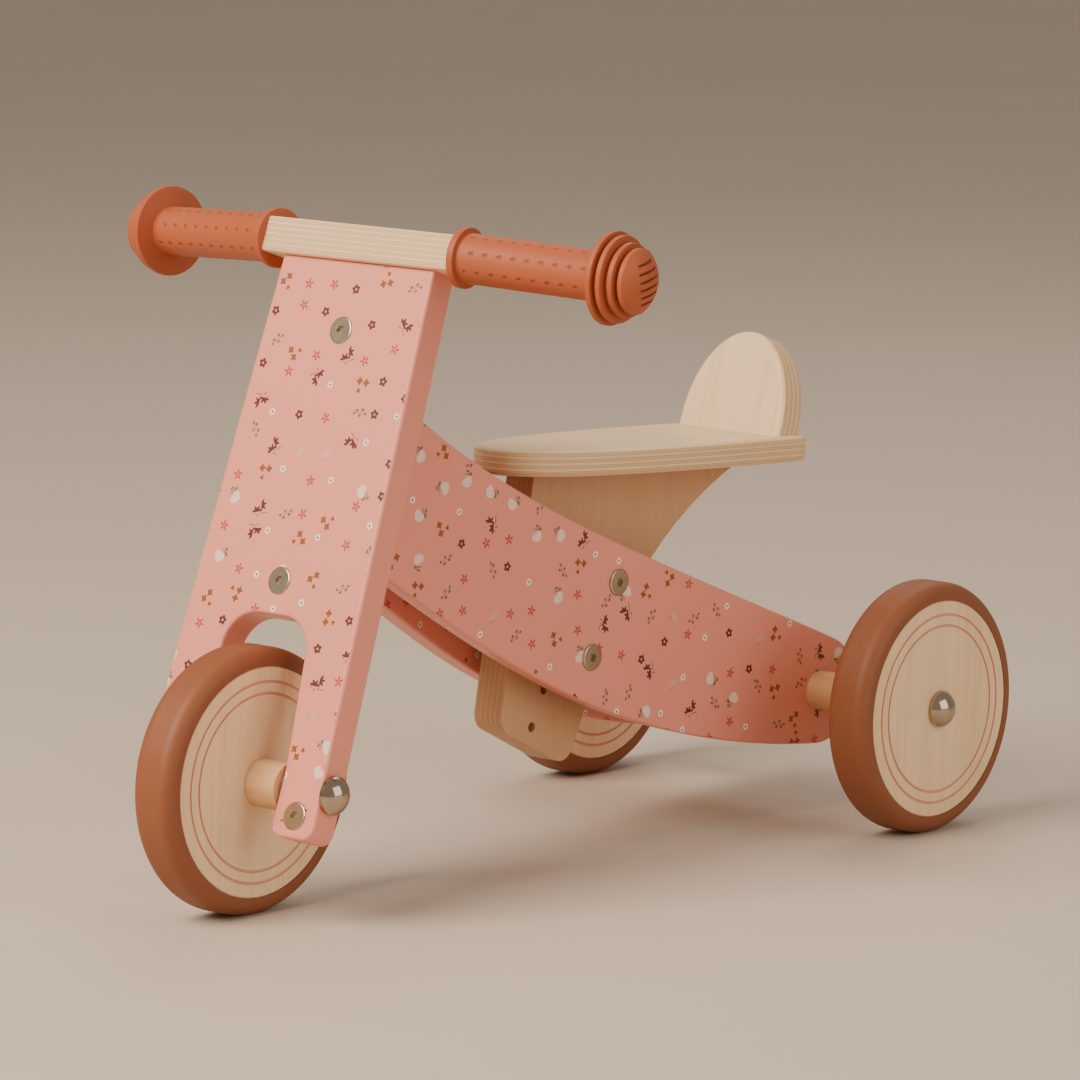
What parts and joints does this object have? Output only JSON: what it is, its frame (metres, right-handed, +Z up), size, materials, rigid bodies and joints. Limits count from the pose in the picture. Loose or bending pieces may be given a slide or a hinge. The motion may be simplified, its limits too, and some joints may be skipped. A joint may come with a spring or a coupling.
{
  "type": "children's tricycle",
  "caption": "Low wooden push-along tricycle for a toddler: raked fork plate, swept bar with round grips, curved side boards, small seat with a backrest, disc wheels.",
  "frame": {"origin": "on the ground, midway between the front and rear axles, on the centre plane", "axes": "+Z up, -Y is the front where the single wheel is, +X is the rider's left and is called the right side in the names, as seen from the front"},
  "size_m": [0.408, 0.638, 0.4101],
  "materials": {
    "printed_wood": "satin pink lacquer with a small floral print",
    "birch_plywood": "clear matt lacquer",
    "beech": "clear matt lacquer",
    "tyre": "terracotta brown, matt",
    "grip": "terracotta silicone rubber, matt",
    "polished_nickel": "polished nickel",
    "nickel_bolt": "satin nickel",
    "steel": "zinc plated",
    "bush": "nylon"
  },
  "bodies": {
    "frame": {"backrest": "birch_plywood", "backrest_dowel_left": "beech", "backrest_dowel_right": "beech", "head_block": "beech", "head_dowel_lower": "beech", "head_dowel_upper": "beech", "head_tube": "steel", "rear_axle": "steel", "rear_cap_nut_left": "polished_nickel", "rear_cap_nut_right": "polished_nickel", "rear_crossbar": "beech", "rear_spacer_left": "beech", "rear_spacer_right": "beech", "seat": "birch_plywood", "seat_bolt_lower": "nickel_bolt", "seat_bolt_upper": "nickel_bolt", "seat_dowel_front": "beech", "seat_dowel_rear": "beech", "seat_nut_lower": "nickel_bolt", "seat_nut_upper": "nickel_bolt", "seat_post": "birch_plywood", "seat_wedge_left": "beech", "seat_wedge_right": "beech", "side_board_left": "printed_wood", "side_board_right": "printed_wood"},
    "front_wheel": {"front_wheel_disc": "birch_plywood", "front_wheel_bush": "bush", "front_wheel_tyre": "tyre"},
    "rear_wheel_left": {"rear_left_wheel_disc": "birch_plywood", "rear_left_wheel_bush": "bush", "rear_left_wheel_tyre": "tyre"},
    "rear_wheel_right": {"rear_right_wheel_disc": "birch_plywood", "rear_right_wheel_bush": "bush", "rear_right_wheel_tyre": "tyre"},
    "fork": {"fork_plate": "printed_wood", "front_axle": "steel", "front_cap_nut_left": "polished_nickel", "front_cap_nut_right": "polished_nickel", "front_spacer_left": "beech", "front_spacer_right": "beech", "front_washer_left": "steel", "front_washer_right": "steel", "handlebar": "birch_plywood", "handlebar_grip_left": "grip", "handlebar_grip_right": "grip", "handlebar_screw_left": "steel", "handlebar_screw_right": "steel", "leg_screw_left": "nickel_bolt", "leg_screw_right": "nickel_bolt", "pivot_bolt_lower": "nickel_bolt", "pivot_bolt_upper": "nickel_bolt", "pivot_bracket_lower": "steel", "pivot_bracket_upper": "steel", "pivot_nut_lower": "steel", "pivot_nut_upper": "steel", "pivot_pin": "steel", "pivot_pin_nut": "steel"}
  },
  "joints": [
    {"name": "steering", "type": "hinge", "parent": "frame", "child": "fork", "pos_m": [0, -0.14743, 0.24578], "axis": [0, 0.3387, 0.9409], "range_deg": [-30, 30]},
    {"name": "front_wheel_spin", "type": "hinge", "parent": "fork", "child": "front_wheel", "pos_m": [0, -0.239, 0.08], "axis": [1, 0, 0], "continuous": true},
    {"name": "rear_wheel_left_spin", "type": "hinge", "parent": "frame", "child": "rear_wheel_left", "pos_m": [-0.1391, 0.239, 0.08], "axis": [1, 0, 0], "continuous": true},
    {"name": "rear_wheel_right_spin", "type": "hinge", "parent": "frame", "child": "rear_wheel_right", "pos_m": [0.1391, 0.239, 0.08], "axis": [1, 0, 0], "continuous": true}
  ]
}
